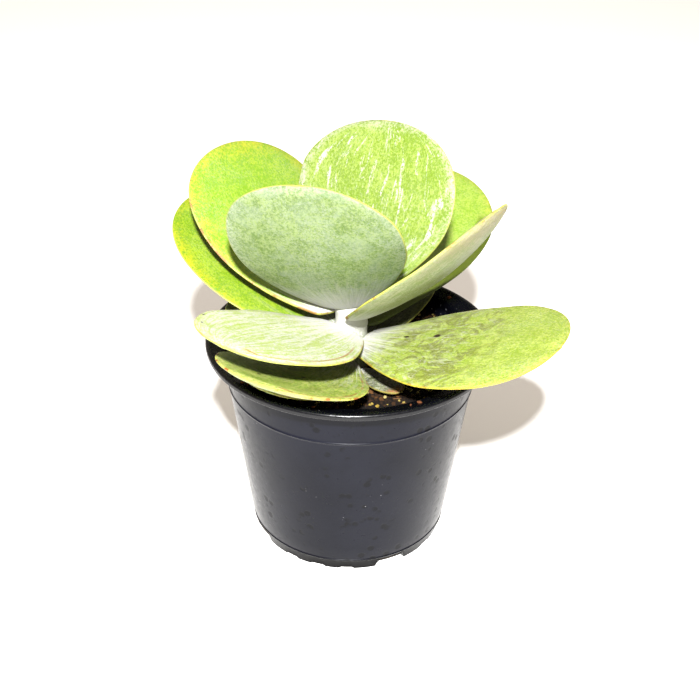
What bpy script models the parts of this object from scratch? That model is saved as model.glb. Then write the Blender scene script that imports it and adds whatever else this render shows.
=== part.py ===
# Paddle plant in its black nursery pot, in metres, +Z up, pot axis on the origin.
import math

import bmesh
import bpy
from mathutils import Matrix, Vector, noise

MM = 0.001
GAP = 0.3

# Pot, sizes in mm
RIM_RADIUS = 57.0
POT_HEIGHT = 86.4
SHOULDER_RADIUS = 50.2
BASE_RADIUS = 40.1
FOOT_RADIUS = 39.0
WALL = 1.3
FLOOR_UNDER = 3.0
FLOOR_TOP = 4.6
POT_STEPS = 60

# Soil and stem, sizes in mm
SOIL_TOP = 77.0
SOIL_RINGS = ((44, 77.3), (37, 76.5), (29, 74.5), (21, 72.9), (13, 72.4))
STEM_RADIUS = 6.5
STEM_TOP = 108.0
STEM_FOOT = 58.0
STEM_STEPS = 24

# Foot of the pot: teeth in four groups with a wide drain gap between groups
TOOTH_GROUPS = ((-17.6, 17.3), (71.5, 17.3), (161.5, 17.3), (251.5, 17.3))
DRAIN_GAPS = (26.5, 116.5, 206.5, 297.0)

# Leaves. azimuth: plan direction from +X; z: height of the base; rise: slope at
# the base; bend: extra slope gained along the leaf; length, width, thick in mm;
# neck: base width as a part of the width; peak: where the leaf is widest;
# cup: margins raised; roll, twist: turn about the midrib; sway: sideways curve.
LEAVES = {
    "leaf_inner_front": dict(azimuth=247, z=101, rise=46, bend=28, length=75, width=65,
                             neck=0.21, peak=0.63, cup=3, roll=17, twist=-10, sway=-5),
    "leaf_inner_back": dict(azimuth=59, z=104, rise=72, bend=-10, length=66, width=71,
                            neck=0.24, peak=0.56, cup=5, roll=-6, twist=1, sway=4),
    "leaf_left_back": dict(azimuth=142, z=97, rise=26, bend=28, length=81, width=68,
                           neck=0.29, peak=0.66, cup=-5, roll=-3, twist=7, sway=-11),
    "leaf_right": dict(azimuth=322, z=96, rise=35, bend=25, length=81, width=61,
                       neck=0.28, peak=0.61, cup=8, roll=-13, twist=18, sway=2),
    "leaf_left_front": dict(azimuth=231, z=90, rise=18, bend=3, length=72, width=57,
                            neck=0.35, peak=0.61, cup=7, roll=-2, twist=2, sway=6),
    "leaf_right_back": dict(azimuth=67, z=88, rise=23, bend=-1, length=93, width=66,
                            neck=0.20, peak=0.62, cup=-10, roll=-5, twist=5, sway=-9),
    "leaf_low_left_back": dict(azimuth=144, z=83, rise=25, bend=9, length=86, width=67,
                               neck=0.36, peak=0.61, cup=1, roll=7, twist=-3, sway=1),
    "leaf_low_right": dict(azimuth=329, z=85, rise=13, bend=9, length=88, width=62,
                           neck=0.26, peak=0.57, cup=2, roll=-1, twist=8, sway=-5),
    "leaf_low_left_front": dict(azimuth=238, z=77, rise=12, bend=19, length=72, width=56,
                                neck=0.20, peak=0.61, cup=11, roll=2, twist=-5, sway=15),
    "leaf_shaded_back": dict(azimuth=71, z=76, rise=15, bend=3, length=66, width=46,
                             neck=0.24, peak=0.62, cup=8, roll=-6, twist=1, sway=-1, thick=3.2),
    "leaf_under_left": dict(azimuth=154, start=9, z=74, rise=14, bend=16, length=47, width=46,
                            neck=0.20, peak=0.59, cup=5, roll=2, twist=-1, sway=-3, thick=2.4),
    "leaf_under_front": dict(azimuth=236, start=12, z=75, rise=11, bend=16, length=47, width=32,
                             neck=0.25, peak=0.57, cup=3, roll=4, twist=-5, sway=-2, thick=2.4),
    "leaf_basal": dict(azimuth=303, start=8, z=74, rise=8, bend=6, length=28, width=12,
                       neck=0.36, peak=0.55, cup=8, roll=2, twist=0, sway=-4, thick=2.6),
}


def new_collection(name):
    made = bpy.data.collections.new(name)
    bpy.context.scene.collection.children.link(made)
    return made


def material(name, colour, roughness):
    made = bpy.data.materials.new(name)
    made.use_nodes = True
    shader = made.node_tree.nodes["Principled BSDF"]
    shader.inputs["Base Color"].default_value = (*colour, 1.0)
    shader.inputs["Roughness"].default_value = roughness
    return made


def add_object(bm, name, where):
    bmesh.ops.recalc_face_normals(bm, faces=bm.faces)
    mesh = bpy.data.meshes.new(name)
    bm.to_mesh(mesh)
    bm.free()
    made = bpy.data.objects.new(name, mesh)
    where.objects.link(made)
    return made


def add_part(bm, name, colour, roughness):
    made = add_object(bm, name, PARTS)
    made.data.materials.append(material(name, colour, roughness))
    return made


def add_cutter(bm, name):
    made = add_object(bm, name, CUTTERS)
    made.hide_render = True
    made.display_type = "WIRE"
    return made


def boolean(target, other, operation):
    step = target.modifiers.new(operation.lower(), "BOOLEAN")
    step.operation = operation
    step.solver = "EXACT"
    step.object = other


def profile_part(name, points, steps, colour, roughness):
    # Closed or axis-to-axis outline in (radius, height), turned about Z
    bm = bmesh.new()
    verts = [bm.verts.new((r * MM, 0.0, z * MM)) for r, z in points]
    pairs = list(zip(verts, verts[1:]))
    if points[0][0] > 0:
        pairs.append((verts[-1], verts[0]))
    for a, b in pairs:
        bm.edges.new((a, b))
    mesh = bpy.data.meshes.new(name)
    bm.to_mesh(mesh)
    bm.free()
    made = bpy.data.objects.new(name, mesh)
    PARTS.objects.link(made)
    made.data.materials.append(material(name, colour, roughness))
    turn = made.modifiers.new("turn", "SCREW")
    turn.angle = 2 * math.pi
    turn.steps = steps
    turn.render_steps = steps
    turn.axis = "Z"
    turn.use_merge_vertices = True
    turn.merge_threshold = 0.00005
    turn.use_normal_calculate = True
    return made


def cylinder(radius, low, high, steps, angle=0.0):
    bm = bmesh.new()
    bmesh.ops.create_cone(bm, cap_ends=True, segments=steps, radius1=radius * MM,
                          radius2=radius * MM, depth=(high - low) * MM)
    bmesh.ops.rotate(bm, verts=bm.verts, matrix=Matrix.Rotation(math.radians(angle), 3, "Z"))
    bmesh.ops.translate(bm, verts=bm.verts, vec=(0.0, 0.0, (low + high) / 2 * MM))
    return bm


def body_radius(z):
    return BASE_RADIUS + (SHOULDER_RADIUS - BASE_RADIUS) * (z - 5.0) / (80.0 - 5.0)


def build_pot():
    r, h = RIM_RADIUS, POT_HEIGHT
    outline = [
        (r - 0.9, h), (r - 0.2, h - 0.4), (r, h - 1.0), (r, h - 1.9), (r - 0.3, h - 2.4),
        (r - 1.2, h - 2.4), (r - 1.5, h - 1.9), (SHOULDER_RADIUS + 1.6, h - 3.2),
        (SHOULDER_RADIUS, h - 4.8), (body_radius(69.4), 69.4), (body_radius(69.4) + 0.5, 68.8),
        (body_radius(67.6) + 0.5, 67.6), (body_radius(67.0), 67.0), (body_radius(6.4), 6.4),
        (BASE_RADIUS + 0.5, 5.8), (BASE_RADIUS + 0.4, 4.6), (BASE_RADIUS - 0.3, 4.2),
        (FOOT_RADIUS, 0.0), (FOOT_RADIUS - 2.0, 0.0), (FOOT_RADIUS - 2.0, FLOOR_UNDER),
        (12.0, FLOOR_UNDER), (11.0, 0.0), (0.0, 0.0),
    ]
    inside = [
        (0.0, FLOOR_TOP), (body_radius(5.0) - WALL, FLOOR_TOP),
        (SHOULDER_RADIUS - WALL, h - 6.2), (SHOULDER_RADIUS - WALL, h - 3.0),
        (SHOULDER_RADIUS - 0.5, h - 2.0), (SHOULDER_RADIUS + 0.8, h - 1.4), (r - 1.6, h),
    ]
    bm_points = outline + inside
    pot = profile_part("pot", bm_points, POT_STEPS, (0.035, 0.036, 0.04), 0.45)
    notches = bmesh.new()
    for centre, pitch in TOOTH_GROUPS:
        for n in (-1, 0, 1):
            notch_block(notches, centre + n * pitch, 8.0, 1.6)
    for centre in DRAIN_GAPS:
        notch_block(notches, centre, 19.0, 4.2)
    boolean(pot, add_cutter(notches, "foot_notches"), "DIFFERENCE")
    return pot


def notch_block(bm, angle, degrees, high):
    # Wedge across the foot ring; angle counts from the front, towards +X
    inner, outer, n = 33.0, 44.0, 4 if degrees > 15 else 1
    start = math.radians(angle - degrees / 2 - 90)
    step = math.radians(degrees) / n
    rings = []
    for i in range(n + 1):
        c, s = math.cos(start + i * step), math.sin(start + i * step)
        rings.append([bm.verts.new((q * c * MM, q * s * MM, z * MM))
                      for q, z in ((inner, -1), (outer, -1), (outer, high), (inner, high))])
    for a, b in zip(rings, rings[1:]):
        for i in range(4):
            bm.faces.new((a[i], a[(i + 1) % 4], b[(i + 1) % 4], b[i]))
    bm.faces.new(rings[0][::-1])
    bm.faces.new(rings[-1])


def build_soil():
    # Plug with a rough top, perlite and bark crumbs fused in, and the stem's hole
    low = FLOOR_TOP + GAP
    top = SOIL_TOP
    bm = bmesh.new()
    steps = 40
    levels = [(body_radius(low) - WALL - GAP, low), (body_radius(74) - WALL - GAP, 74.0),
              (body_radius(top) - WALL - GAP - 0.1, top - 0.6)]
    levels += SOIL_RINGS
    rings = []
    for k, (r, z) in enumerate(levels):
        ring = []
        for i in range(steps):
            a = 2 * math.pi * i / steps
            x, y = r * math.cos(a), r * math.sin(a)
            lift = 0.0
            if k > 2:
                lift = 0.7 * noise.noise(Vector((x / 9, y / 9, 3.1)))
            ring.append(bm.verts.new((x * MM, y * MM, (z + lift) * MM)))
        rings.append(ring)
    for a, b in zip(rings, rings[1:]):
        for i in range(steps):
            j = (i + 1) % steps
            bm.faces.new((a[i], a[j], b[j], b[i]))
    for ring, z in ((rings[0], low), (rings[-1], SOIL_RINGS[-1][1])):
        middle = bm.verts.new((0.0, 0.0, z * MM))
        for i in range(steps):
            bm.faces.new((ring[i], ring[(i + 1) % steps], middle))
    soil = add_part(bm, "soil", (0.035, 0.02, 0.012), 0.9)
    boolean(soil, add_cutter(crumbs(), "crumbs"), "UNION")
    hole = cylinder(STEM_RADIUS + GAP, STEM_FOOT - GAP, 90.0, STEM_STEPS)
    boolean(soil, add_cutter(hole, "stem_hole"), "DIFFERENCE")
    return soil


def crumbs():
    # Lumps of perlite and bark: angle from +X, radius, size in mm
    bm = bmesh.new()
    lumps = ((283, 40, 1.8), (291, 44, 1.4), (299, 41, 1.6), (307, 43, 1.2), (318, 42, 1.7),
             (276, 45, 1.2), (264, 44, 1.5), (75, 45, 1.6), (95, 43, 1.4), (112, 45, 1.6),
             (60, 43, 1.3), (190, 45, 1.5), (20, 45, 1.4))
    for angle, r, size in lumps:
        a = math.radians(angle)
        place = Matrix.Translation((r * math.cos(a) * MM, r * math.sin(a) * MM, SOIL_TOP * MM))
        turn = Matrix.Rotation(math.radians(angle * 3), 4, "X")
        bmesh.ops.create_icosphere(bm, subdivisions=1, radius=size * MM, matrix=place @ turn)
    return bm


def build_stem():
    outline = [
        (0.0, STEM_TOP), (3.4, STEM_TOP - 0.5), (5.4, STEM_TOP - 2.2), (STEM_RADIUS, STEM_TOP - 5),
        (STEM_RADIUS, STEM_FOOT + 1), (STEM_RADIUS - 1, STEM_FOOT), (0.0, STEM_FOOT),
    ]
    return profile_part("stem", outline, STEM_STEPS, (0.35, 0.42, 0.2), 0.6)


def spread(s, neck, peak):
    # Half width along the leaf, as a part of the widest
    if s < peak:
        return neck + (1 - neck) * math.sin(math.pi / 2 * s / peak)
    return math.sqrt(max(0.0, 1 - ((s - peak) / (1 - peak)) ** 2.3))


def leaf_frame(d, s):
    # Point, side and upward directions of the midrib at s, by small turns
    a, b = math.radians(d["azimuth"]), math.radians(d["rise"])
    along = Vector((math.cos(b) * math.cos(a), math.cos(b) * math.sin(a), math.sin(b)))
    side = Vector((-math.sin(a), math.cos(a), 0.0))
    above = along.cross(side)
    start = d.get("start", 4.0)
    point = Vector((start * math.cos(a), start * math.sin(a), d["z"]))
    steps = 40
    for i in range(round(s * steps)):
        point += along * d["length"] / steps
        lift = Matrix.Rotation(-math.radians(d["bend"]) / steps, 3, side)
        along, above = lift @ along, lift @ above
        turn = Matrix.Rotation(math.radians(d["sway"]) / steps, 3, above)
        along, side = turn @ along, turn @ side
    rest = s - round(s * steps) / steps
    point += along * d["length"] * rest
    roll = Matrix.Rotation(math.radians(d["roll"] + d["twist"] * s), 3, along)
    return point, roll @ side, roll @ above


def build_leaf(name, d):
    # A ball with its poles at base and tip, pressed flat and bent to shape
    bm = bmesh.new()
    bmesh.ops.create_uvsphere(bm, u_segments=20, v_segments=14, radius=1.0)
    frames = {}
    for v in bm.verts:
        s = min(1.0, max(0.0, (v.co.z + 1) / 2))
        key = round(s, 4)
        if key not in frames:
            frames[key] = leaf_frame(d, s)
        point, side, above = frames[key]
        ring = math.hypot(v.co.x, v.co.y)
        t, flat = (v.co.x / ring, v.co.y / ring) if ring > 1e-6 else (0.0, 0.0)
        wide = spread(s, d["neck"], d["peak"])
        half = d["width"] / 2 * wide
        thick = d.get("thick", 3.8) / 2 * (1.0 - 0.3 * s) * min(1.0, math.sqrt((1 - s) / 0.05))
        curl = math.radians(d["cup"]) * wide
        across, lift = half * t, 0.0
        if abs(curl) > 1e-4:
            across, lift = half / curl * math.sin(t * curl), half / curl * (1 - math.cos(t * curl))
        place = point + side * across + above * (lift + thick * flat)
        v.co = place * MM
    leaf = add_part(bm, name, d.get("colour", (0.45, 0.62, 0.12)), 0.5)
    boolean(leaf, STEM_CUTTER, "DIFFERENCE")
    return leaf


def clear_scene():
    for thing in list(bpy.data.objects):
        bpy.data.objects.remove(thing, do_unlink=True)


clear_scene()
PARTS = new_collection("paddle_plant")
CUTTERS = new_collection("cutters")
STEM_CUTTER = add_cutter(cylinder(STEM_RADIUS + GAP, 60.0, 125.0, STEM_STEPS), "stem_clearance")
build_pot()
build_soil()
build_stem()
for leaf_name, design in LEAVES.items():
    build_leaf(leaf_name, design)
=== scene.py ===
# Paddle plant in its nursery pot: the finishes and fine forms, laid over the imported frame.
import math

import bmesh
import bpy
from mathutils import Matrix, Vector, noise


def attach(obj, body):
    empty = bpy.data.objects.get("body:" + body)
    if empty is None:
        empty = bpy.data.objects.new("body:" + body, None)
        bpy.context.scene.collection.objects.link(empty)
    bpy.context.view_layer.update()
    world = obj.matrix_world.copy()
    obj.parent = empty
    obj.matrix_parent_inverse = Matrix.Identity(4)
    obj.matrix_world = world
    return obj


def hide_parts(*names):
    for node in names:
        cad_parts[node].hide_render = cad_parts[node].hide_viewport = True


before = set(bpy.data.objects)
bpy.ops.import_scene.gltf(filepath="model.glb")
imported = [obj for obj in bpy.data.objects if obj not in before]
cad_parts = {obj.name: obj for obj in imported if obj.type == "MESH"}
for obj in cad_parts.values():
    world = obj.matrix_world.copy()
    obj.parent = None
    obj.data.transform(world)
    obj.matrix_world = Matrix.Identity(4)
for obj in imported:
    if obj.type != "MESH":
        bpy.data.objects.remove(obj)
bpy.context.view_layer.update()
mm = 0.001
print("frame loaded, nodes:", len(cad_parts))


# Camera, floor and light

cameraView = {"place": (-0.3, -401.6, 320.9), "pitch": 31.04, "roll": 0.97, "lens": 60.9}
floorLook = {"size": 5.0, "colour": (0.96, 0.95, 0.93), "rough": 0.6}
lampLook = {"place": (0.0, -480.0, 512.0), "aim": (0.0, 0.0, 80.0), "size": 0.04, "power": 23.0}
fillLook = {"strength": 0.64, "colour": (1.0, 0.88, 0.76)}
backLook = {"place": (0.0, 1150.0, 700.0), "size": 1.4, "power": 2.2}


def setCamera(look):
    data = bpy.data.cameras.new("camera")
    data.lens = look["lens"]
    data.sensor_width = 36.0
    data.clip_start, data.clip_end = 0.01, 20.0
    camera = bpy.data.objects.new("camera", data)
    bpy.context.scene.collection.objects.link(camera)
    tilt = Matrix.Rotation(math.radians(90 - look["pitch"]), 4, "X")
    roll = Matrix.Rotation(math.radians(look["roll"]), 4, "Z")
    camera.matrix_world = Matrix.Translation(Vector(look["place"]) * mm) @ tilt @ roll
    bpy.context.scene.camera = camera


def setFloor(look):
    bm = bmesh.new()
    bmesh.ops.create_grid(bm, x_segments=1, y_segments=1, size=look["size"])
    mesh = bpy.data.meshes.new("floor")
    bm.to_mesh(mesh)
    bm.free()
    floor = bpy.data.objects.new("floor", mesh)
    bpy.context.scene.collection.objects.link(floor)
    paint = bpy.data.materials.new("paleFloor")
    paint.use_nodes = True
    shader = paint.node_tree.nodes["Principled BSDF"]
    shader.inputs["Base Color"].default_value = (*look["colour"], 1)
    shader.inputs["Roughness"].default_value = look["rough"]
    mesh.materials.append(paint)


def addBackLamp(look):
    # Soft lamp high over the far floor, for the floor alone
    data = bpy.data.lights.new("backLamp", "AREA")
    data.size = look["size"]
    data.energy = look["power"]
    light = bpy.data.objects.new("backLamp", data)
    bpy.context.scene.collection.objects.link(light)
    light.location = Vector(look["place"]) * mm
    onlyFloor = bpy.data.collections.new("onlyFloor")
    onlyFloor.objects.link(bpy.data.objects["floor"])
    light.light_linking.receiver_collection = onlyFloor


def setLight(lamp, fill):
    data = bpy.data.lights.new("lamp", "AREA")
    data.shape = "DISK"
    data.size = lamp["size"]
    data.energy = lamp["power"]
    light = bpy.data.objects.new("lamp", data)
    bpy.context.scene.collection.objects.link(light)
    away = Vector(lamp["place"]) - Vector(lamp["aim"])
    light.location = Vector(lamp["place"]) * mm
    light.rotation_mode = "QUATERNION"
    light.rotation_quaternion = away.to_track_quat("Z", "Y")
    world = bpy.data.worlds.new("studio")
    bpy.context.scene.world = world
    world.use_nodes = True
    sky = world.node_tree.nodes["Background"]
    sky.inputs["Color"].default_value = (*fill["colour"], 1)
    sky.inputs["Strength"].default_value = fill["strength"]
    bpy.context.scene.view_settings.view_transform = "Standard"


setCamera(cameraView)
setFloor(floorLook)
setLight(lampLook, fillLook)
addBackLamp(backLook)
print("camera, floor and light set")


# Small helpers for shader nodes and meshes

def tone(r, g, b, gain=4.4):
    # Colour as seen in full studio light, 0 to 255, taken back to the surface's own
    return tuple(((c / 255 + 0.055) / 1.055) ** 2.4 / gain for c in (r, g, b))


def addNode(tree, kind, inputs=None, **settings):
    node = tree.nodes.new(kind)
    for key, value in settings.items():
        setattr(node, key, value)
    for key, value in (inputs or {}).items():
        setInput(tree, node.inputs[key], value)
    return node


def setInput(tree, socket, value):
    if isinstance(value, bpy.types.NodeSocket):
        tree.links.new(value, socket)
    elif isinstance(value, tuple) and len(value) == 3 and socket.type == "RGBA":
        socket.default_value = (*value, 1)
    else:
        socket.default_value = value


def calc(tree, operation, a, b=0.0, clamp=False):
    return addNode(tree, "ShaderNodeMath", {0: a, 1: b}, operation=operation,
                   use_clamp=clamp).outputs[0]


def times(tree, a, b):
    return calc(tree, "MULTIPLY", a, b)


def blendColour(tree, factor, a, b):
    node = addNode(tree, "ShaderNodeMix", data_type="RGBA")
    for socket, value in ((node.inputs[0], factor), (node.inputs[6], a), (node.inputs[7], b)):
        setInput(tree, socket, value)
    return node.outputs[2]


def fade(tree, value, low, high, toLow=0.0, toHigh=1.0):
    # Smooth step from toLow at low to toHigh at high
    node = addNode(tree, "ShaderNodeMapRange", {0: value}, interpolation_type="SMOOTHSTEP")
    for i, v in ((1, low), (2, high), (3, toLow), (4, toHigh)):
        node.inputs[i].default_value = v
    return node.outputs[0]


def cloud(tree, place, scale, detail=3.0, roughness=0.55, distortion=0.0):
    return addNode(tree, "ShaderNodeTexNoise",
                   {"Vector": place, "Scale": scale, "Detail": detail, "Roughness": roughness,
                    "Distortion": distortion}).outputs["Fac"]


def meshValue(tree, name):
    return addNode(tree, "ShaderNodeAttribute", attribute_name=name).outputs["Fac"]


def objectPlace(tree):
    return addNode(tree, "ShaderNodeTexCoord").outputs["Object"]


def newPaint(name):
    paint = bpy.data.materials.new(name)
    paint.use_nodes = True
    tree = paint.node_tree
    return paint, tree, tree.nodes["Principled BSDF"]


def addBump(tree, shader, height, distance, strength=1.0):
    bump = addNode(tree, "ShaderNodeBump", {"Height": height, "Distance": distance,
                                            "Strength": strength})
    tree.links.new(bump.outputs[0], shader.inputs["Normal"])


def turned(r, z, k, steps):
    # Point k of steps round the Z axis, from millimetres
    a = 2 * math.pi * k / steps
    return Vector((r * math.cos(a), r * math.sin(a), z)) * mm


def newMesh(name, points, polys):
    mesh = bpy.data.meshes.new(name)
    mesh.from_pydata(points, [], polys)
    return mesh


def addPiece(name, mesh, nodeNames):
    piece = bpy.data.objects.new(name, mesh)
    bpy.context.scene.collection.objects.link(piece)
    finishPiece(piece, nodeNames)
    return piece


def finishPiece(piece, nodeNames):
    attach(piece, "root")
    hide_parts(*nodeNames)


# Leaves: place and shape of each, angles in degrees and lengths in mm

leafForms = {
    "innerFront": dict(node="leaf_inner_front", slot="leaf_blue_green", azimuth=247, z=101,
                       rise=46, bend=28, length=75, width=65, neck=0.21, peak=0.63, cup=3,
                       roll=17, twist=-10, sway=-5, seed=1),
    "innerBack": dict(node="leaf_inner_back", slot="leaf_glossy", azimuth=59, z=104,
                      rise=72, bend=-10, length=66, width=71, neck=0.24, peak=0.56, cup=5,
                      roll=-6, twist=1, sway=4, seed=2),
    "leftBack": dict(node="leaf_left_back", slot="leaf_lime", azimuth=142, z=97,
                     rise=26, bend=28, length=81, width=68, neck=0.29, peak=0.66, cup=-5,
                     roll=-3, twist=7, sway=-11, seed=3),
    "right": dict(node="leaf_right", slot="leaf_blue_green", azimuth=322, z=96,
                  rise=35, bend=25, length=81, width=61, neck=0.28, peak=0.61, cup=8,
                  roll=-13, twist=18, sway=2, seed=4),
    "leftFront": dict(node="leaf_left_front", slot="leaf_pale", azimuth=231, z=90,
                      rise=18, bend=3, length=72, width=57, neck=0.35, peak=0.61, cup=7,
                      roll=-2, twist=2, sway=6, seed=5),
    "rightBack": dict(node="leaf_right_back", slot="leaf_lime", azimuth=67, z=88,
                      rise=23, bend=-1, length=93, width=66, neck=0.20, peak=0.62, cup=-10,
                      roll=-5, twist=5, sway=-9, seed=6),
    "lowLeftBack": dict(node="leaf_low_left_back", slot="leaf_lime", azimuth=144, z=83,
                        rise=25, bend=9, length=86, width=67, neck=0.36, peak=0.61, cup=1,
                        roll=7, twist=-3, sway=1, seed=7),
    "lowRight": dict(node="leaf_low_right", slot="leaf_mottled", azimuth=329, z=85,
                     rise=13, bend=9, length=88, width=62, neck=0.26, peak=0.57, cup=2,
                     roll=-1, twist=8, sway=-5, seed=8),
    "lowLeftFront": dict(node="leaf_low_left_front", slot="leaf_old", azimuth=238, z=77,
                         rise=12, bend=19, length=72, width=56, neck=0.20, peak=0.61, cup=11,
                         roll=2, twist=-5, sway=15, seed=9),
    "shadedBack": dict(node="leaf_shaded_back", slot="leaf_old", azimuth=71, z=76,
                       rise=15, bend=3, length=66, width=46, neck=0.24, peak=0.62, cup=8,
                       roll=-6, twist=1, sway=-1, thick=3.2, seed=10),
    "underLeft": dict(node="leaf_under_left", slot="leaf_old", azimuth=154, start=9, z=74,
                      rise=14, bend=16, length=47, width=46, neck=0.20, peak=0.59, cup=5,
                      roll=2, twist=-1, sway=-3, thick=2.4, seed=11),
    "underFront": dict(node="leaf_under_front", slot="leaf_old", azimuth=236, start=12, z=75,
                       rise=11, bend=16, length=47, width=32, neck=0.25, peak=0.57, cup=3,
                       roll=4, twist=-5, sway=-2, thick=2.4, seed=12),
    "basal": dict(node="leaf_basal", slot="leaf_pale", azimuth=303, start=8, z=74,
                  rise=8, bend=6, length=28, width=12, neck=0.36, peak=0.55, cup=8,
                  roll=2, twist=0, sway=-4, thick=2.6, seed=13),
}
leafCommon = dict(start=4.0, thick=3.8, ripple=0.5, edgeWave=0.012, pucker=0.35)
leafGrid = {"around": 88, "along": 72}


def spread(s, neck, peak):
    # Half width along the leaf as a part of the widest, with a rounded heel
    heel = math.sqrt(max(0.0, 1 - (max(0.0, 0.05 - s) / 0.05) ** 2))
    if s < peak:
        return heel * (neck + (1 - neck) * math.sin(math.pi / 2 * s / peak))
    return math.sqrt(max(0.0, 1 - ((s - peak) / (1 - peak)) ** 2.3))


def midribAt(form, s, steps=40):
    # Point, side and upward directions of the midrib at s
    a, b = math.radians(form["azimuth"]), math.radians(form["rise"])
    along = Vector((math.cos(b) * math.cos(a), math.cos(b) * math.sin(a), math.sin(b)))
    side = Vector((-math.sin(a), math.cos(a), 0.0))
    above = along.cross(side)
    point = Vector((form["start"] * math.cos(a), form["start"] * math.sin(a), form["z"]))
    whole = math.floor(s * steps + 1e-6)
    lift = math.radians(form["bend"]) / steps
    turn = math.radians(form["sway"]) / steps
    for part in [1.0] * whole + [s * steps - whole]:
        point += along * form["length"] / steps * part
        up = Matrix.Rotation(-lift * part, 3, side)
        along, above = up @ along, up @ above
        over = Matrix.Rotation(turn * part, 3, above)
        along, side = over @ along, over @ side
    roll = Matrix.Rotation(math.radians(form["roll"] + form["twist"] * s), 3, along)
    return point, roll @ side, roll @ above


def leafMesh(name, form, grid):
    # A flat ball from heel to tip; each point keeps where it is on the leaf
    nAround, nAlong = grid["around"], grid["along"]
    points, alongs, acrosses, rims, faces = [], [], [], [], []
    for i in range(nAlong + 1):
        s = (1 - math.cos(math.pi * i / nAlong)) / 2
        point, side, above = midribAt(form, s)
        wide = spread(s, form["neck"], form["peak"])
        half = form["width"] / 2 * wide
        curl = math.radians(form["cup"]) * wide
        deep = form["thick"] / 2 * (1.0 - 0.3 * s) * min(1.0, math.sqrt((1 - s) / 0.05 + 1e-9))
        deep *= math.sqrt(min(1.0, s / 0.03))
        for j in range(1 if i in (0, nAlong) else nAround):
            angle = 2 * math.pi * j / nAround
            t, flat = (math.cos(angle), math.sin(angle)) if 0 < i < nAlong else (0.0, 0.0)
            edge = 1 if t > 0 else -1
            wave = noise.noise(Vector((s * 5, edge * 3.0, form["seed"])))
            reach = half * (1 + form["edgeWave"] * wave * abs(t) ** 2)
            across, lift = reach * t, 0.0
            if abs(curl) > 1e-4:
                across = reach / curl * math.sin(t * curl)
                lift = reach / curl * (1 - math.cos(t * curl))
            swell = noise.noise(Vector((s * 3.2, t * 2.2, form["seed"] + 5.0)))
            lift += (form["pucker"] * swell * min(1.0, s * 4)
                     + form["ripple"] * abs(t) ** 4 * wave * min(1.0, s * 3))
            bulk = math.copysign(abs(flat) ** 0.85, flat) * deep
            points.append((point + side * across + above * (lift + bulk)) * mm)
            alongs.append(s)
            acrosses.append(t)
            rims.append(min(half * (1 - abs(t)), form["length"] * (1 - s)) if i else 0.0)
            faces.append(flat)
    polys = [(0, 1 + (j + 1) % nAround, 1 + j) for j in range(nAround)]
    for i in range(nAlong - 2):
        a, b = 1 + i * nAround, 1 + (i + 1) * nAround
        polys += [(a + j, a + (j + 1) % nAround, b + (j + 1) % nAround, b + j)
                  for j in range(nAround)]
    a, tip = 1 + (nAlong - 2) * nAround, len(points) - 1
    polys += [(a + j, a + (j + 1) % nAround, tip) for j in range(nAround)]
    mesh = newMesh(name, points, polys)
    for key, values in (("along", alongs), ("across", acrosses), ("rim", rims), ("face", faces)):
        mesh.attributes.new(key, "FLOAT", "POINT").data.foreach_set("value", values)
    mesh.shade_smooth()
    return mesh


# Colours as seen, 0 to 255. fold: side, mm from the margin, colour. paintedShadow (painted
# shadow of another leaf): how far along, mm from the margin, colour. scars: along, across, mm
leafGrain = {"patch": 60.0, "stain": 75.0, "drift": 80.0, "rust": 150.0, "clump": 240.0,
             "fine": 1050.0, "meal": 1800.0}  # noise scales
leafBase = dict(upper=(206, 240, 84), upperDeep=(156, 204, 30), lower=(190, 214, 138),
                lowerDeep=(126, 162, 66), gain=4.4, fleck=0.6, alongFibres=0.0, powder=0.25,
                powderColour=(240, 246, 220), heelWhite=0.2, streaks=0.5, streakReach=0.5,
                rough=0.42, ridges=0.25, gleam=0.0, mottle=0.0, mottleColour=(140, 148, 48),
                mottleReach=1.0, wrinklesAndHighlight=0.0, marginColour=(236, 238, 110), marginWidth=0.6,
                marginRust=0.0, edgeColour=(240, 246, 150), edgeReach=5.0, edgeTint=0.35,
                paintedShadow=None, fold=None, tipTint=0.0, tipColour=(250, 238, 60), tipReach=0.7,
                scars=(), scarColour=(70, 48, 34), rustColour=(190, 110, 44), gloss=0.25, glow=0.2,
                crestHighlightColour=(250, 252, 222), fibreColour=(246, 250, 220),
                gleamColour=(255, 255, 236), heelColour=(255, 255, 246))
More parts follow.
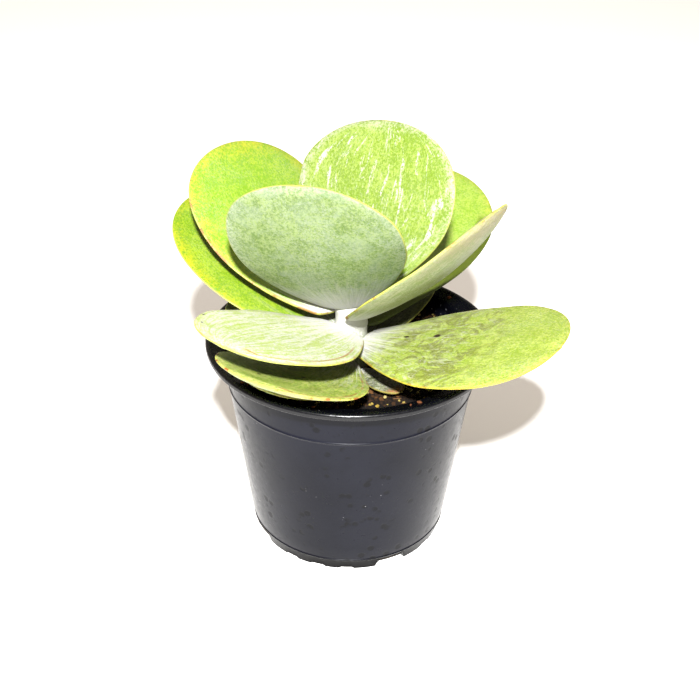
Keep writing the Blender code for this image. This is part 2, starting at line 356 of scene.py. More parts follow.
leafLooks = {
    "innerFront": dict(lower=(192, 218, 130), lowerDeep=(128, 166, 60), powder=0.55, fleck=0.6,
                       powderColour=(222, 236, 208), heelWhite=0.34, streaks=0.4, rough=0.6,
                       mottle=0.35, mottleColour=(200, 220, 186), mottleReach=1.3,
                       edgeColour=(226, 240, 206), edgeTint=0.6),
    # innerBack: its near-white edge band is a painted highlight along the margins
    "innerBack": dict(upper=(214, 243, 114), upperDeep=(166, 206, 54), rough=0.3, ridges=0.3,
                      powder=0.15, heelWhite=0.12, gleam=1.0, gain=4.5, wrinklesAndHighlight=0.3,
                      edgeColour=(250, 255, 214), edgeTint=0.9, edgeReach=6.0),
    "leftBack": dict(upper=(206, 244, 70), upperDeep=(164, 220, 34), marginRust=0.8, powder=0.25,
                     streaks=0.9, gain=4.3, edgeColour=(250, 246, 70), edgeReach=9.0,
                     edgeTint=0.75, tipTint=0.3, tipReach=0.86),
    "right": dict(powder=0.6, lower=(236, 242, 198), lowerDeep=(158, 188, 82), rough=0.55,
                  gain=2.8, heelWhite=0.3, streaks=0.7, marginRust=0.8, alongFibres=0.2,
                  mottle=0.35, mottleColour=(176, 176, 112), mottleReach=1.3,
                  fold=(1, 3.0, (206, 176, 76)), tipTint=0.55, tipColour=(206, 184, 138),
                  tipReach=0.7),
    "leftFront": dict(upper=(255, 255, 240), upperDeep=(206, 228, 112), powder=0.4, streaks=0.9,
                      streakReach=0.9, heelWhite=0.3, marginRust=0.5, rough=0.5, gain=3.1,
                      alongFibres=0.35, edgeColour=(250, 250, 170), fold=(1, 3.4, (196, 142, 66)),
                      scars=((0.84, -0.86, 0.6), (0.74, -0.96, 0.6))),
    "rightBack": dict(upper=(216, 246, 100), upperDeep=(176, 224, 56), powder=0.2, gain=4.2,
                      marginRust=0.5, edgeColour=(244, 242, 80), edgeReach=7.0, edgeTint=0.6,
                      # painted shadow: this leaf's margin is darker green near the heel, where leaf
                      # right's shadow falls
                      paintedShadow=(0.82, 5.0, (100, 116, 14))),
    "lowLeftBack": dict(upper=(208, 244, 52), upperDeep=(160, 212, 10), powder=0.15, gain=4.3,
                        edgeColour=(246, 240, 46), edgeReach=8.0, edgeTint=0.8),
    "lowRight": dict(upper=(224, 242, 112), upperDeep=(176, 208, 48), powder=0.3, mottle=0.85,
                     mottleReach=0.8, streaks=0.7, streakReach=0.4, heelWhite=0.2, wrinklesAndHighlight=0.55,
                     marginRust=0.5, rough=0.45, gain=3.6, marginColour=(240, 226, 70),
                     edgeColour=(242, 242, 104), edgeTint=0.45, marginWidth=0.55,
                     scars=((0.235, 0.1, 1.1), (0.375, 0.17, 1.3))),
    "lowLeftFront": dict(upper=(230, 240, 128), upperDeep=(152, 190, 36), powder=0.15, mottle=0.5,
                         marginRust=1.0, streaks=0.7, streakReach=0.8, gain=2.9, wrinklesAndHighlight=0.3,
                         edgeColour=(246, 240, 150), edgeTint=0.7, fold=(1, 2.6, (190, 132, 74)),
                         scars=((0.55, 0.1, 0.8), (0.8, -0.3, 0.9))),
    # shadedBack: colours painted dark, as the leaf looks in shade (painted shade)
    "shadedBack": dict(upper=(126, 138, 40), upperDeep=(76, 90, 16)),
    "underLeft": dict(upper=(190, 204, 90), upperDeep=(130, 150, 34)),
    "underFront": dict(upper=(244, 236, 60), upperDeep=(190, 180, 30), marginRust=0.3, gain=3.4),
    "basal": dict(upper=(240, 240, 206), upperDeep=(118, 136, 50), powder=0.5, tipTint=0.9,
                  mottle=0.8, mottleColour=(70, 74, 30), tipColour=(190, 112, 40), tipReach=0.8,
                  gain=3.4, fleck=0.6, marginColour=(190, 176, 90), marginWidth=0.3, edgeTint=0.0),
}


def seen(look, key):
    return tone(*look[key], gain=look["gain"])


def fan(tree, at, wide, long):
    # Coordinates that run from heel to tip, so marks on them follow the fibres
    return addNode(tree, "ShaderNodeCombineXYZ", {
        0: times(tree, at["across"], wide), 1: times(tree, at["along"], long),
        2: at["seed"] * 3.7}).outputs[0]


def leafFields(tree, form, look):
    # Where each point is on the leaf, and the noises that several marks share
    at = {key: meshValue(tree, key) for key in ("along", "across", "rim", "face")}
    at["seed"], at["place"] = form["seed"], objectPlace(tree)
    at["streak"] = cloud(tree, fan(tree, at, 13.0, 3.0), 1.6, 5.0, 0.62, 0.5)
    at["crease"] = cloud(tree, fan(tree, at, 11.0, 12.0), 1.3, 5.0, 0.65, 1.8)
    at["patch"] = cloud(tree, at["place"], leafGrain["patch"], 4.0, 0.6, 0.6)
    at["fine"] = cloud(tree, at["place"], leafGrain["fine"], 6.0, 0.72)
    # flecks under a millimetre, gathered in drifts of a few millimetres and more
    clump = cloud(tree, at["place"], leafGrain["clump"], 5.0, 0.7)
    fleck = calc(tree, "ADD", times(tree, at["fine"], look["fleck"]), calc(
        tree, "ADD", times(tree, clump, 0.25), times(tree, at["patch"], 0.75 - look["fleck"])))
    if look["alongFibres"]:
        fleck = calc(tree, "ADD", times(tree, fleck, 1 - look["alongFibres"]),
                     times(tree, at["streak"], look["alongFibres"]))
    at["fleck"] = fleck
    # meal: fine pale grains, thicker in drifts
    drift = fade(tree, cloud(tree, at["place"], leafGrain["drift"], 5.0, 0.65), 0.32, 0.7)
    grain = cloud(tree, at["place"], leafGrain["meal"], 4.0, 0.75)
    at["meal"] = times(tree, fade(tree, grain, 0.4, 0.66), calc(tree, "ADD", drift, 0.3))
    return at


def skinColour(tree, at, look):
    mixed = fade(tree, at["fleck"], 0.445, 0.56)
    top = blendColour(tree, mixed, seen(look, "upperDeep"), seen(look, "upper"))
    under = blendColour(tree, mixed, seen(look, "lowerDeep"), seen(look, "lower"))
    colour = blendColour(tree, fade(tree, at["face"], -0.15, 0.15), under, top)
    if look["mottle"]:
        reach = look["mottleReach"]
        stain = fade(tree, cloud(tree, at["place"], leafGrain["stain"], 7.0, 0.74, 1.8), 0.46, 0.57)
        stain = times(tree, stain, fade(tree, at["along"], reach, reach - 0.25))
        colour = blendColour(tree, times(tree, stain, look["mottle"]), colour,
                             seen(look, "mottleColour"))
    if look["wrinklesAndHighlight"]:
        # painted highlight: near-white on the crests of the wrinkles, towards the heel
        crestHighlight = times(tree, fade(tree, at["crease"], 0.54, 0.62),
                      fade(tree, at["along"], 0.75, 0.4))
        colour = blendColour(tree, times(tree, crestHighlight, look["wrinklesAndHighlight"]), colour,
                             seen(look, "crestHighlightColour"))
    return blendColour(tree, times(tree, at["meal"], look["powder"]), colour,
                       seen(look, "powderColour"))


def addFibres(tree, at, look, colour):
    # Pale fibres that leave the heel, painted highlights (glints) on a glossy leaf, and the white
    # heel
    near = fade(tree, at["along"], look["streakReach"], 0.05)
    fibre = times(tree, fade(tree, at["streak"], 0.44, 0.66), near)
    colour = blendColour(tree, times(tree, fibre, look["streaks"]), colour,
                         seen(look, "fibreColour"))
    # painted highlights: pale gleam lines laid into the leaf's colour
    if look["gleam"]:
        lines = cloud(tree, fan(tree, at, 12.0, 5.5), 1.0, 5.0, 0.62, 1.0)
        lines = times(tree, fade(tree, lines, 0.55, 0.63), fade(tree, at["fine"], 0.4, 0.52))
        colour = blendColour(tree, times(tree, lines, look["gleam"]), colour,
                             tone(*look["gleamColour"], look["gain"] * 0.85))
    heel = fade(tree, calc(tree, "ADD", at["along"], times(tree, at["streak"], -0.3)),
                look["heelWhite"] - 0.13, -0.13)
    return blendColour(tree, heel, colour, tone(*look["heelColour"], look["gain"] * 0.85))


def addFold(tree, at, look, colour):
    # A thin line inside one margin, where the leaf is folded
    side, depth, foldTone = look["fold"]
    off = calc(tree, "ABSOLUTE", calc(tree, "SUBTRACT", at["rim"], depth))
    line = fade(tree, calc(tree, "SUBTRACT", off, times(tree, at["fine"], 0.9)), 0.15, -0.2)
    line = times(tree, line, fade(tree, times(tree, at["across"], side), 0.2, 0.5))
    line = times(tree, line, times(tree, fade(tree, at["patch"], 0.3, 0.45),
                                   fade(tree, at["along"], 0.2, 0.35)))
    return blendColour(tree, times(tree, line, 0.8), colour, tone(*foldTone, gain=look["gain"]))


def addMargin(tree, at, look, colour):
    # A tinted band, then the thin edge itself, rusty in stretches
    along, rim, thin = at["along"], at["rim"], look["marginWidth"]
    band = times(tree, fade(tree, rim, look["edgeReach"], 0.5),
                 times(tree, fade(tree, at["fleck"], 0.42, 0.58), fade(tree, along, 0.2, 0.6)))
    colour = blendColour(tree, times(tree, band, look["edgeTint"]), colour,
                         seen(look, "edgeColour"))
    if look["fold"]:
        colour = addFold(tree, at, look, colour)
    if look["tipTint"]:
        ragged = times(tree, calc(tree, "SUBTRACT", at["fleck"], 0.5), 1.2)
        ragged = calc(tree, "ADD", along, ragged)
        blush = fade(tree, ragged, look["tipReach"], look["tipReach"] + 0.2)
        colour = blendColour(tree, times(tree, blush, look["tipTint"]), colour,
                             seen(look, "tipColour"))
    edge = times(tree, fade(tree, rim, thin, thin * 0.3),
                 fade(tree, at["patch"], 0.3, 0.55, 0.35, 1.0))
    colour = blendColour(tree, edge, colour, seen(look, "marginColour"))
    rust = fade(tree, cloud(tree, at["place"], leafGrain["rust"], 5.0, 0.75), 0.5, 0.6)
    rusty = times(tree, times(tree, rust, look["marginRust"]), fade(tree, rim, thin * 2.2, 0.2))
    colour = blendColour(tree, rusty, colour, seen(look, "rustColour"))
    # painted shadow: darker green along the margin, short of the tip, where another leaf's shadow
    # falls
    if look["paintedShadow"]:
        reach, wide, deep = look["paintedShadow"]
        dark = times(tree, fade(tree, along, reach, reach - 0.1), fade(tree, rim, wide + 3.0, wide))
        dark = times(tree, dark, fade(tree, at["fine"], 0.2, 0.5, 0.8, 1.0))
        colour = blendColour(tree, dark, colour, tone(*deep, gain=look["gain"]))
    return colour


def addScars(tree, at, form, look, colour):
    for spotAlong, spotAcross, size in look["scars"]:
        down = times(tree, calc(tree, "SUBTRACT", at["along"], spotAlong), form["length"])
        over = times(tree, calc(tree, "SUBTRACT", at["across"], spotAcross), form["width"] / 2)
        flat = addNode(tree, "ShaderNodeCombineXYZ", {0: down, 1: over}).outputs[0]
        far = addNode(tree, "ShaderNodeVectorMath", {0: flat}, operation="LENGTH").outputs["Value"]
        far = calc(tree, "ADD", far, times(tree, at["fine"], 1.6))
        colour = blendColour(tree, fade(tree, far, size + 1.1, size + 0.5), colour,
                             tone(*look["scarColour"]))
    return colour


def leafPaint(name, form, look):
    paint, tree, shader = newPaint(name)
    at = leafFields(tree, form, look)
    colour = skinColour(tree, at, look)
    colour = addFibres(tree, at, look, colour)
    colour = addMargin(tree, at, look, colour)
    colour = addScars(tree, at, form, look, colour)
    tree.links.new(colour, shader.inputs["Base Color"])
    tree.links.new(calc(tree, "ADD", look["rough"], times(tree, at["meal"], 0.2)),
                   shader.inputs["Roughness"])
    shader.inputs["Specular IOR Level"].default_value = look["gloss"]
    shader.inputs["Subsurface Weight"].default_value = look["glow"]
    shader.inputs["Subsurface Radius"].default_value = (0.7, 1.0, 0.12)
    shader.inputs["Subsurface Scale"].default_value = 0.002
    ridge = cloud(tree, fan(tree, at, 20.0, 4.0), 1.0, 4.0, 0.55, 1.0)
    height = calc(tree, "ADD", times(tree, ridge, look["ridges"]), times(tree, at["fine"], 0.2))
    height = calc(tree, "ADD", height, times(tree, at["crease"], look["wrinklesAndHighlight"] * 0.8))
    addBump(tree, shader, height, 0.0008)
    return paint


for leafName, form in leafForms.items():
    form = {**leafCommon, **form}
    mesh = leafMesh("leaf." + leafName, form, leafGrid)
    look = {**leafBase, **leafLooks[leafName]}
    mesh.materials.append(leafPaint("leafSkin." + leafName, form, look))
    addPiece("leaf." + leafName, mesh, [form["node"]])
print("leaves made:", len(leafForms))


# Stem

stemForm = {"radius": 6.5, "top": 108.0, "foot": 58.3, "steps": 64, "rings": 90,
            "joints": (80.0, 86.0, 92.0, 98.5), "collar": (0.3, 1.1), "dome": 5.0, "waist": 0.25,
            "bumps": 0.22}
stemLook = {"deep": (128, 146, 84), "pale": (190, 202, 144), "meal": (255, 255, 244),
            "mealFrom": 0.084, "mealFull": 0.094, "rough": 0.6}


def stemMesh(form):
    # Turned, with a low collar at each pair of leaves and shallow ridges between
    points, polys, steps, dome = [], [], form["steps"], form["dome"]
    swell, reach = form["collar"]
    for i in range(form["rings"] + 1):
        z = form["foot"] + (form["top"] - form["foot"]) * i / form["rings"]
        left = form["top"] - z
        r = form["radius"] * math.sqrt(max(0.0, 1 - max(0.0, (dome - left) / dome) ** 2))
        r -= form["waist"] if left > dome else 0.0
        r += sum(swell * math.exp(-((z - j) / reach) ** 2) for j in form["joints"])
        for k in range(steps):
            a = 2 * math.pi * k / steps
            spot = Vector((math.cos(a) * 2.2, math.sin(a) * 2.2, z / 9))
            bump = form["bumps"] * noise.noise(spot) if left > 1 else 0.0
            points.append(turned(max(0.0, r + bump), z, k, steps))
    for i in range(form["rings"]):
        for k in range(steps):
            a, b = i * steps, (i + 1) * steps
            polys.append((a + k, a + (k + 1) % steps, b + (k + 1) % steps, b + k))
    points.append(Vector((0, 0, form["foot"])) * mm)
    polys += [((k + 1) % steps, k, len(points) - 1) for k in range(steps)]
    mesh = newMesh("stem.body", points, polys)
    bm = bmesh.new()
    bm.from_mesh(mesh)
    bmesh.ops.remove_doubles(bm, verts=bm.verts, dist=0.00001)
    bm.to_mesh(mesh)
    bm.free()
    mesh.shade_smooth()
    return mesh


def stemPaint(look):
    # Olive below; thick white meal where the upper pairs of leaves join
    paint, tree, shader = newPaint("stemSkin")
    place = objectPlace(tree)
    high = addNode(tree, "ShaderNodeSeparateXYZ", {0: place}).outputs[2]
    grain = cloud(tree, place, 900.0, 3.0, 0.6)
    patch = cloud(tree, place, 220.0, 4.0, 0.6)
    colour = blendColour(tree, fade(tree, patch, 0.35, 0.65), tone(*look["deep"]),
                         tone(*look["pale"]))
    meal = calc(tree, "ADD", fade(tree, high, look["mealFrom"], look["mealFull"]),
                fade(tree, grain, 0.45, 0.7, 0.0, 0.6), True)
    colour = blendColour(tree, meal, colour, tone(*look["meal"], 3.2))
    tree.links.new(colour, shader.inputs["Base Color"])
    shader.inputs["Roughness"].default_value = look["rough"]
    addBump(tree, shader, grain, 0.0003)
    return paint


stemBody = stemMesh(stemForm)
stemBody.materials.append(stemPaint(stemLook))
addPiece("stem.body", stemBody, ["stem"])
print("stem made")


# Pot

potForm = {"rim": 57.0, "height": 86.4, "shoulder": 50.2, "base": 40.1, "foot": 39.0,
           "wall": 1.3, "underFloor": 3.0, "floor": 4.6, "steps": 180, "ringAt": 68.2,
           "baseAt": 5.0, "wallHeight": 75.0, "footRing": (33.0, 44.0),
           "toothGroups": ((-17.6, 17.3), (71.5, 17.3), (161.5, 17.3), (251.5, 17.3)),
           "drainGaps": (26.5, 116.5, 206.5, 297.0), "notch": (6.0, 1.35, 1.7),
           "drain": (15.5, 4.2, 0.5)}  # degrees wide, mm high, degrees wider for each mm down


def bodyRadius(z):
    spreadOut = potForm["shoulder"] - potForm["base"]
    return potForm["base"] + spreadOut * (z - potForm["baseAt"]) / potForm["wallHeight"]


def arc(centre, radius, start, end, steps=6):
    # Points on part of a circle in (radius, height), angles in degrees
    turns = [math.radians(start + (end - start) * i / steps) for i in range(steps + 1)]
    return [(centre[0] + radius * math.cos(t), centre[1] + radius * math.sin(t)) for t in turns]


def potOutline(f):
    r, h, ring, neckAt = f["rim"], f["height"], f["ringAt"], f["shoulder"]
    lip = arc((r - 1.1, h - 1.1), 1.1, 90, 0) + [(r, h - 1.7)]
    lip += arc((r - 0.35, h - 1.95), 0.4, 30, -90, 5) + [(r - 1.2, h - 2.35), (r - 1.5, h - 2.0)]
    neck = [(neckAt + 1.6, h - 3.2)] + arc((neckAt + 1.3, h - 4.5), 1.3, 100, 180)
    bead = [(bodyRadius(ring + 1.2), ring + 1.2), (bodyRadius(ring + 0.6), ring + 0.6)]
    bead += arc((bodyRadius(ring) - 0.05, ring), 0.4, 60, -60, 6)
    bead += [(bodyRadius(ring - 0.6), ring - 0.6), (bodyRadius(ring - 1.2), ring - 1.2)]
    low = [(bodyRadius(z), z) for z in (54.0, 40.0, 26.0, 12.0, 6.9)]
    low += arc((f["base"] - 0.15, 5.4), 0.35, 70, -70, 5) + [(f["base"] - 0.4, 4.4)]
    foot = arc((f["foot"] - 0.5, 0.5), 0.5, 0, -90, 3)
    foot += arc((f["foot"] - 1.6, 0.4), 0.4, -90, -180, 2)
    foot += [(f["foot"] - 2.0, f["underFloor"]), (12.2, f["underFloor"]), (11.4, 0.3), (11.0, 0.0),
             (0.0, 0.0)]
    wall = f["wall"]
    inner = [(0.0, f["floor"]), (bodyRadius(5.0) - wall, f["floor"]),
             (bodyRadius(40.0) - wall, 40.0), (neckAt - wall, h - 6.2), (neckAt - wall, h - 3.1)]
    # the broad ledge inside the lip
    inner += [(neckAt - 1.15, h - 2.55), (neckAt - 0.75, h - 2.1), (neckAt - 0.1, h - 1.75),
              (neckAt + 0.8, h - 1.45), (neckAt + 2.6, h - 1.0), (r - 3.0, h - 0.5),
              (r - 2.1, h - 0.15), (r - 1.5, h - 0.02)]
    return lip + neck + bead + low + foot + inner


def potMesh(f):
    outline, steps = potOutline(f), f["steps"]
    points = [turned(r, z, k, steps) for r, z in outline for k in range(steps)]
    polys = []
    for i in range(len(outline)):
        a, b = i * steps, (i + 1) % len(outline) * steps
        polys += [(a + k, b + k, b + (k + 1) % steps, a + (k + 1) % steps) for k in range(steps)]
    mesh = newMesh("pot.body", points, polys)
    bm = bmesh.new()
    bm.from_mesh(mesh)
    bmesh.ops.remove_doubles(bm, verts=bm.verts, dist=0.000002)
    bmesh.ops.dissolve_degenerate(bm, edges=bm.edges, dist=0.000002)
    bmesh.ops.recalc_face_normals(bm, faces=bm.faces)
    bm.to_mesh(mesh)
    bm.free()
    return mesh


def addWedge(bm, angle, wide, high, slope):
    # Block across the foot ring, wider below; angle counts from the front, towards +X
    inner, outer = potForm["footRing"]
    n, rings = 6 if wide > 12 else 2, []
    for i in range(n + 1):
        top, low = (math.radians(angle - 90 + (i / n - 0.5) * w)
                    for w in (wide, wide + 2 * slope * (high + 1)))
        rings.append([bm.verts.new(Vector((q * math.cos(a), q * math.sin(a), z)) * mm)
                      for q, z, a in ((inner, -1, low), (outer, -1, low), (outer, high, top),
                                      (inner, high, top))])
    for a, b in zip(rings, rings[1:]):
        for i in range(4):
            bm.faces.new((a[i], a[(i + 1) % 4], b[(i + 1) % 4], b[i]))
    bm.faces.new(rings[0][::-1])
    bm.faces.new(rings[-1])


def cutFoot(pot, f):
    bm = bmesh.new()
    for centre, pitch in f["toothGroups"]:
        for n in (-1, 0, 1):
            addWedge(bm, centre + n * pitch, *f["notch"])
    for centre in f["drainGaps"]:
        addWedge(bm, centre, *f["drain"])
    bmesh.ops.recalc_face_normals(bm, faces=bm.faces)
    mesh = bpy.data.meshes.new("footCutter")
    bm.to_mesh(mesh)
    bm.free()
    cutter = bpy.data.objects.new("footCutter", mesh)
    bpy.context.scene.collection.objects.link(cutter)
    step = pot.modifiers.new("cut", "BOOLEAN")
    step.solver = "EXACT"
    step.operation = "DIFFERENCE"
    step.object = cutter
    bakeMesh(pot)
    bpy.data.objects.remove(cutter, do_unlink=True)


def bakeMesh(piece):
    # Puts the modifiers' result in the mesh itself and clears the modifiers
    final = piece.evaluated_get(bpy.context.evaluated_depsgraph_get())
    plain = bpy.data.meshes.new_from_object(final)
    piece.modifiers.clear()
    piece.data = plain


potLook = {"body": (66, 69, 92), "bodyDeep": (50, 53, 74), "rim": (32, 34, 46), "gain": 15.0,
           "gloss": 0.075, "footGloss": 0.04, "lipGloss": 0.14, "rough": (0.27, 0.38),
           # foot: painted shade, the foot much darker than the body close to the floor
           "foot": (16, 16, 22), "drops": 0.75, "dropColour": (30, 30, 38),
           "dustColour": (214, 214, 220), "specks": (0.08, 0.045), "specksInside": (0.2, 0.1),
           "lean": 0.1347}  # lean: mm that the wall goes out for each mm up


def dropMarks(tree, place):
    # Dried drops: flat round marks that come in groups
    cells = addNode(tree, "ShaderNodeTexVoronoi", {"Vector": place, "Scale": 210.0})
    return times(tree, fade(tree, cells.outputs["Distance"], 0.36, 0.24),
                 fade(tree, cloud(tree, place, 70.0, 3.0, 0.6), 0.47, 0.57))


def dustMarks(tree, place, inside, look):
    # Pale dust: a few specks outside, many on the inner wall over the soil
    cells = addNode(tree, "ShaderNodeTexVoronoi", {"Vector": place, "Scale": 380.0})
    speck = fade(tree, cells.outputs["Distance"], *look["specks"])
    speckIn = times(tree, fade(tree, cells.outputs["Distance"], *look["specksInside"]), inside)
    rare = fade(tree, cloud(tree, place, 75.0, 2.0, 0.5), 0.58, 0.64)
    return times(tree, calc(tree, "MAXIMUM", speck, speckIn),
                 calc(tree, "ADD", rare, times(tree, inside, 0.3), True))


def potPaint(look):
    paint, tree, shader = newPaint("potPlastic")
    place = objectPlace(tree)
    high = addNode(tree, "ShaderNodeSeparateXYZ", {0: place}).outputs[2]
    flat = addNode(tree, "ShaderNodeVectorMath", {0: place, 1: (1.0, 1.0, 0.0)},
                   operation="MULTIPLY").outputs[0]
    radius = addNode(tree, "ShaderNodeVectorMath", {0: flat}, operation="LENGTH").outputs["Value"]
    inside = fade(tree, calc(tree, "SUBTRACT", radius, times(tree, high, look["lean"])),
                  0.0390, 0.0385)
    cloudy = cloud(tree, place, 28.0, 4.0, 0.6)
    scuff = cloud(tree, place, 420.0, 5.0, 0.7)
    drop, speck = dropMarks(tree, place), dustMarks(tree, place, inside, look)
    # painted shade: below about 5 mm the foot is painted much darker than the body
    atRim, footPaintedShade = fade(tree, high, 0.0800, 0.0815), fade(tree, high, 0.0062, 0.0045)
    lip = times(tree, fade(tree, radius, 0.0550, 0.0557), fade(tree, high, 0.0825, 0.0840))
    colour = blendColour(tree, fade(tree, cloudy, 0.35, 0.7), seen(look, "bodyDeep"),
                         seen(look, "body"))
    for share, key in ((atRim, "rim"), (footPaintedShade, "foot"),
                       (times(tree, drop, look["drops"]), "dropColour")):
        colour = blendColour(tree, share, colour, seen(look, key))
    colour = blendColour(tree, speck, colour, tone(*look["dustColour"]))
    tree.links.new(colour, shader.inputs["Base Color"])
    rough = fade(tree, scuff, 0.3, 0.75, *look["rough"])
    for mark, change in ((speck, 0.4), (drop, 0.12), (atRim, -0.05)):
        rough = calc(tree, "ADD", rough, times(tree, mark, change))
    tree.links.new(rough, shader.inputs["Roughness"])
    gloss = calc(tree, "ADD", times(tree, lip, look["lipGloss"]),
                 fade(tree, high, 0.0045, 0.0062, look["footGloss"], look["gloss"]))
    tree.links.new(gloss, shader.inputs["Specular IOR Level"])
    height = calc(tree, "SUBTRACT", times(tree, scuff, 0.1), times(tree, drop, 0.12))
    addBump(tree, shader, height, 0.0003)
    return paint


potPiece = bpy.data.objects.new("pot.body", potMesh(potForm))
bpy.context.scene.collection.objects.link(potPiece)
cutFoot(potPiece, potForm)
potPiece.data.materials.append(potPaint(potLook))
potPiece.data.shade_smooth()
potPiece.data.set_sharp_from_angle(angle=math.radians(35))
finishPiece(potPiece, ["pot"])
print("pot made")


# Soil, with what lies in it

soilForm = {"top": 77.0, "wallTop": 74.0, "low": 4.9, "steps": 150, "ringStep": 0.8,
            "middle": 0.8, "wallGap": 0.3,
            "bumps": ((0.8, 9, 3.1), (0.5, 2.6, 8.1), (0.25, 0.9, 1.7)),  # mm high, mm wide, seed
            "heights": ((0, 72.4), (13, 72.4), (21, 72.9), (29, 74.5), (37, 76.5), (44, 77.3),
                        (48, 76.9))}


def soilHeight(x, y):
    r = math.hypot(x, y)
    table = soilForm["heights"]
    z = table[-1][1]
    for (r0, z0), (r1, z1) in zip(table, table[1:]):
        if r <= r1:
            z = z0 + (z1 - z0) * (r - r0) / (r1 - r0)
            break
    for high, wide, seed in soilForm["bumps"]:
        z += high * noise.noise(Vector((x / wide, y / wide, seed)))
    return z


def soilMesh(f, plug):
    # The rough top; with plug, also the sides and the underside in the pot
    def edgeAt(z):
        return bodyRadius(z) - potForm["wall"] - f["wallGap"]

    edge, middle = edgeAt(f["top"]), f["middle"]
    count = round((edge - middle) / f["ringStep"])
    steps, points, polys = f["steps"], [], []
    for i in range(count + 1):
        r = middle + (edge - middle) * i / count
        for k in range(steps):
            a = 2 * math.pi * k / steps
            x, y = r * math.cos(a), r * math.sin(a)
            points.append(Vector((x, y, soilHeight(x, y))) * mm)
    if plug:
        for r, z in ((edgeAt(f["wallTop"]), f["wallTop"]), (edgeAt(f["low"]), f["low"]),
                     (middle, f["low"])):
            points += [turned(r, z, k, steps) for k in range(steps)]
    rings = len(points) // steps
    for i in range(rings - 1):
        a, b = i * steps, (i + 1) * steps
        polys += [(a + k, b + k, b + (k + 1) % steps, a + (k + 1) % steps) for k in range(steps)]
    if plug:
        polys.append(tuple(range(steps)))
        polys.append(tuple(reversed(range((rings - 1) * steps, rings * steps))))
    mesh = newMesh("soil.bed", points, polys)
    mesh.shade_smooth()
    return mesh


def crumbTree():
    # Scatters noise-shaped lumps on a surface; every size is a named input
    tree = bpy.data.node_groups.new("crumbScatter", "GeometryNodeTree")
    face = tree.interface
    face.new_socket("Geometry", in_out="INPUT", socket_type="NodeSocketGeometry")
    face.new_socket("Geometry", in_out="OUTPUT", socket_type="NodeSocketGeometry")
    for title, kind in (("Density", "NodeSocketFloat"), ("Smallest", "NodeSocketFloat"),
                        ("Largest", "NodeSocketFloat"), ("Flatness", "NodeSocketFloat"),
                        ("Length", "NodeSocketFloat"), ("Detail", "NodeSocketInt"),
                        ("Rough", "NodeSocketFloat"), ("Sink", "NodeSocketFloat"),
                        ("Seed", "NodeSocketInt"), ("Finish", "NodeSocketMaterial")):
        face.new_socket(title, in_out="INPUT", socket_type=kind)
    given = tree.nodes.new("NodeGroupInput").outputs
    scatter = tree.nodes.new("GeometryNodeDistributePointsOnFaces")
    lump = tree.nodes.new("GeometryNodeMeshIcoSphere")
    shove = tree.nodes.new("GeometryNodeSetPosition")
    rough = tree.nodes.new("ShaderNodeTexNoise")
    middle = tree.nodes.new("ShaderNodeVectorMath")
    push = tree.nodes.new("ShaderNodeVectorMath")
    spot = tree.nodes.new("GeometryNodeInputPosition")
    place = tree.nodes.new("GeometryNodeInstanceOnPoints")
    turn = tree.nodes.new("FunctionNodeRandomValue")
    size = tree.nodes.new("FunctionNodeRandomValue")
    shape = tree.nodes.new("ShaderNodeCombineXYZ")
    grow = tree.nodes.new("ShaderNodeVectorMath")
    sink = tree.nodes.new("ShaderNodeCombineXYZ")
    lower = tree.nodes.new("GeometryNodeSetPosition")
    solid = tree.nodes.new("GeometryNodeRealizeInstances")
    finish = tree.nodes.new("GeometryNodeSetMaterial")
    result = tree.nodes.new("NodeGroupOutput")
    link = tree.links.new
    link(given["Geometry"], scatter.inputs["Mesh"])
    link(given["Density"], scatter.inputs["Density"])
    link(given["Seed"], scatter.inputs["Seed"])
    link(given["Detail"], lump.inputs["Subdivisions"])
    lump.inputs["Radius"].default_value = 0.5
    link(spot.outputs[0], rough.inputs["Vector"])
    rough.inputs["Scale"].default_value = 2.4
    middle.operation = "SUBTRACT"
    link(rough.outputs["Color"], middle.inputs[0])
    middle.inputs[1].default_value = (0.5, 0.5, 0.5)
    push.operation = "SCALE"
    link(middle.outputs[0], push.inputs[0])
    link(given["Rough"], push.inputs["Scale"])
    link(lump.outputs["Mesh"], shove.inputs["Geometry"])
    link(push.outputs[0], shove.inputs["Offset"])
    turn.data_type = "FLOAT_VECTOR"
    turn.inputs[0].default_value = (-0.5, -0.5, 0.0)
    turn.inputs[1].default_value = (0.5, 0.5, 6.283)
    link(given["Seed"], turn.inputs["Seed"])
    link(given["Smallest"], size.inputs[2])
    link(given["Largest"], size.inputs[3])
    link(given["Seed"], size.inputs["Seed"])
    link(given["Length"], shape.inputs[0])
    shape.inputs[1].default_value = 1.0
    link(given["Flatness"], shape.inputs[2])
    grow.operation = "SCALE"
    link(shape.outputs[0], grow.inputs[0])
    link(size.outputs[1], grow.inputs["Scale"])
    link(given["Sink"], sink.inputs[2])
    link(scatter.outputs["Points"], lower.inputs["Geometry"])
    link(sink.outputs[0], lower.inputs["Offset"])
    link(lower.outputs["Geometry"], place.inputs["Points"])
    link(shove.outputs["Geometry"], place.inputs["Instance"])
    link(turn.outputs[0], place.inputs["Rotation"])
    link(grow.outputs[0], place.inputs["Scale"])
    link(place.outputs["Instances"], solid.inputs["Geometry"])
    link(solid.outputs["Geometry"], finish.inputs["Geometry"])
    link(given["Finish"], finish.inputs["Material"])
    link(finish.outputs["Geometry"], result.inputs["Geometry"])
    return tree


def scatterPiece(name, surface, tree, settings, nodeName):
    piece = bpy.data.objects.new(name, surface.copy())
    bpy.context.scene.collection.objects.link(piece)
    step = piece.modifiers.new("scatter", "NODES")
    step.node_group = tree
    sockets = {i.name: i.identifier for i in tree.interface.items_tree
               if i.item_type == "SOCKET" and i.in_out == "INPUT"}
    for key, value in settings.items():
        step[sockets[key]] = value
    bakeMesh(piece)
    piece.data.name = name
    finishPiece(piece, [nodeName])
    return piece


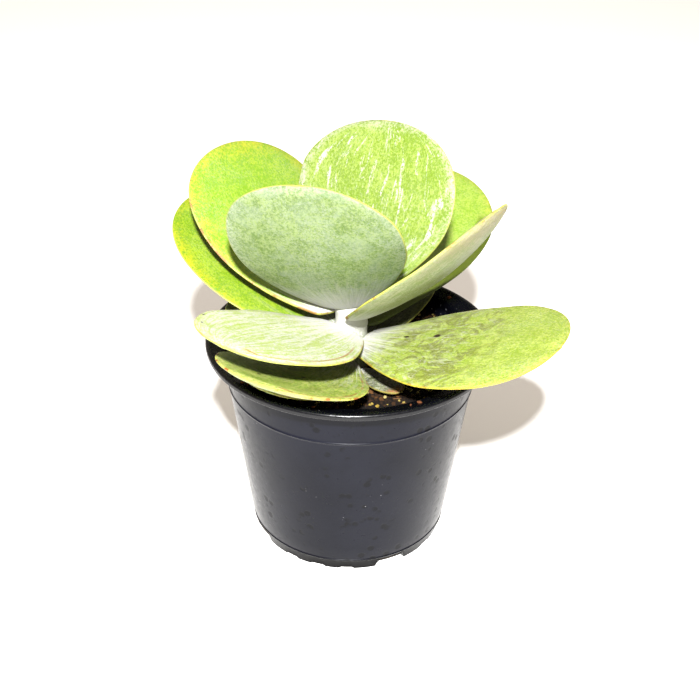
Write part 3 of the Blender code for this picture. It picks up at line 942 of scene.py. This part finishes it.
def grainPaint(name, dark, light, rough, scale=500.0):
    paint, tree, shader = newPaint(name)
    place = objectPlace(tree)
    fine = cloud(tree, place, scale, 5.0, 0.7)
    broad = cloud(tree, place, scale / 8, 3.0, 0.6)
    colour = blendColour(tree, fade(tree, broad, 0.35, 0.65), tone(*dark), tone(*light))
    colour = blendColour(tree, fade(tree, fine, 0.3, 0.75, 0.0, 0.5), colour, tone(*dark))
    tree.links.new(colour, shader.inputs["Base Color"])
    shader.inputs["Roughness"].default_value = rough
    shader.inputs["Specular IOR Level"].default_value = 0.15
    addBump(tree, shader, fine, 0.0005)
    return paint


crumbKinds = {
    "grit": dict(Density=760000.0, Smallest=0.0005, Largest=0.0013, Flatness=0.8, Length=1.1,
                 Detail=1, Rough=0.5, Sink=0.0, Seed=3,
                 paint=((26, 16, 8), (84, 56, 30), 0.95)),
    "bark": dict(Density=60000.0, Smallest=0.0008, Largest=0.002, Flatness=0.5, Length=1.6,
                 Detail=1, Rough=0.6, Sink=0.0002, Seed=11,
                 paint=((74, 48, 24), (150, 100, 48), 0.9)),
    "perlite": dict(Density=50000.0, Smallest=0.0006, Largest=0.0017, Flatness=0.85, Length=1.1,
                    Detail=2, Rough=0.45, Sink=0.0003, Seed=24,
                    paint=((206, 174, 70), (250, 236, 160), 0.85)),
    "fibre": dict(Density=15000.0, Smallest=0.0003, Largest=0.0006, Flatness=1.0, Length=8.0,
                  Detail=1, Rough=0.3, Sink=0.0004, Seed=31,
                  paint=((120, 84, 50), (176, 134, 84), 0.9)),
}

soilBed = soilMesh(soilForm, True)
soilBed.materials.append(grainPaint("soilCrumb", (14, 9, 5), (38, 24, 13), 0.95, 700.0))
addPiece("soil.bed", soilBed, ["soil"])
crumbs = crumbTree()
soilTop = soilMesh(soilForm, False)
for kind, settings in crumbKinds.items():
    settings = dict(settings)
    dark, light, rough = settings.pop("paint")
    settings["Finish"] = grainPaint(kind + "Grain", dark, light, rough)
    scatterPiece("soil." + kind, soilTop, crumbs, settings, "soil")


def ledgeMesh(steps=60):
    # Ring just on the ledge of the pot, for crumbs spilt over it
    low = (potForm["shoulder"] + 1.0, potForm["height"] - 1.4)
    high = (potForm["rim"] - 3.2, potForm["height"] - 0.55)
    points = [turned(r, z, k, steps) for r, z in (low, high) for k in range(steps)]
    polys = [(k, steps + k, steps + (k + 1) % steps, (k + 1) % steps) for k in range(steps)]
    return newMesh("ledge", points, polys)


strayKind = dict(Density=15000.0, Smallest=0.0006, Largest=0.0017, Flatness=0.6, Length=1.4,
                 Detail=2, Rough=0.5, Sink=0.0002, Seed=5)
strayKind["Finish"] = grainPaint("strayGrain", (104, 58, 26), (206, 128, 74), 0.9)
scatterPiece("soil.strays", ledgeMesh(), crumbs, strayKind, "soil")
print("soil made")
